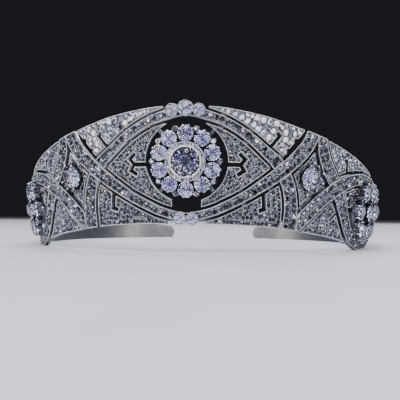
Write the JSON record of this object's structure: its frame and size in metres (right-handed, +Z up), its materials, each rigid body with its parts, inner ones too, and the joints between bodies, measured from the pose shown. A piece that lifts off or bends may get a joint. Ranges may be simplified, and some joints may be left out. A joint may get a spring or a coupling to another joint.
{
  "type": "bandeau tiara",
  "caption": "Bandeau tiara of interlaced paved ovals with a round brooch at the front, worn round the front of the head.",
  "frame": {"origin": "middle of the tiara's bounding box, on the surface that it stands on; the axis of its round wall is 6.59 mm behind it, at +Y", "axes": "+Z up, the brooch faces -Y, +X is the left side of a viewer who stands behind the brooch and the right side of one who faces it"},
  "size_m": [0.147, 0.1475, 0.0488],
  "materials": {
    "paved_metal": "white metal paved with small round clear stones in raised beads",
    "bright_metal": "polished white metal",
    "clear_stone": "faceted clear stone"
  },
  "bodies": {
    "root": {"front_ribbons": "paved_metal", "infill_plate_left": "paved_metal", "infill_plate_right": "paved_metal", "spandrel_left": "paved_metal", "spandrel_right": "paved_metal", "lower_plate_left": "paved_metal", "lower_plate_right": "paved_metal", "upper_triangle_left": "paved_metal", "upper_triangle_right": "paved_metal", "lower_triangle_left": "paved_metal", "lower_triangle_right": "paved_metal", "oval_plate_left": "paved_metal", "oval_plate_right": "paved_metal", "oval_tip_left": "paved_metal", "oval_tip_right": "paved_metal", "side_ribbons_left": "paved_metal", "lozenge_left": "bright_metal", "back_section_left": "bright_metal", "cluster_setting_left": "bright_metal", "lozenge_stone_left": "clear_stone", "cluster_stone_left_0": "clear_stone", "cluster_stone_left_1": "clear_stone", "cluster_stone_left_2": "clear_stone", "cluster_stone_left_3": "clear_stone", "cluster_stone_left_4": "clear_stone", "cluster_stone_left_5": "clear_stone", "cluster_stone_left_6": "clear_stone", "side_ribbons_right": "paved_metal", "lozenge_right": "bright_metal", "back_section_right": "bright_metal", "cluster_setting_right": "bright_metal", "lozenge_stone_right": "clear_stone", "cluster_stone_right_0": "clear_stone", "cluster_stone_right_1": "clear_stone", "cluster_stone_right_2": "clear_stone", "cluster_stone_right_3": "clear_stone", "cluster_stone_right_4": "clear_stone", "cluster_stone_right_5": "clear_stone", "cluster_stone_right_6": "clear_stone", "brooch_setting": "bright_metal", "top_collets": "bright_metal", "bottom_collets": "bright_metal", "brooch_stone": "clear_stone", "petal_stone_1": "clear_stone", "petal_stone_2": "clear_stone", "petal_stone_3": "clear_stone", "petal_stone_4": "clear_stone", "petal_stone_5": "clear_stone", "petal_stone_6": "clear_stone", "petal_stone_7": "clear_stone", "petal_stone_8": "clear_stone", "petal_stone_9": "clear_stone", "petal_stone_10": "clear_stone", "top_stone_left": "clear_stone", "top_stone_middle": "clear_stone", "top_stone_right": "clear_stone", "bottom_stone_left": "clear_stone", "bottom_stone_right": "clear_stone"}
  },
  "joints": []
}
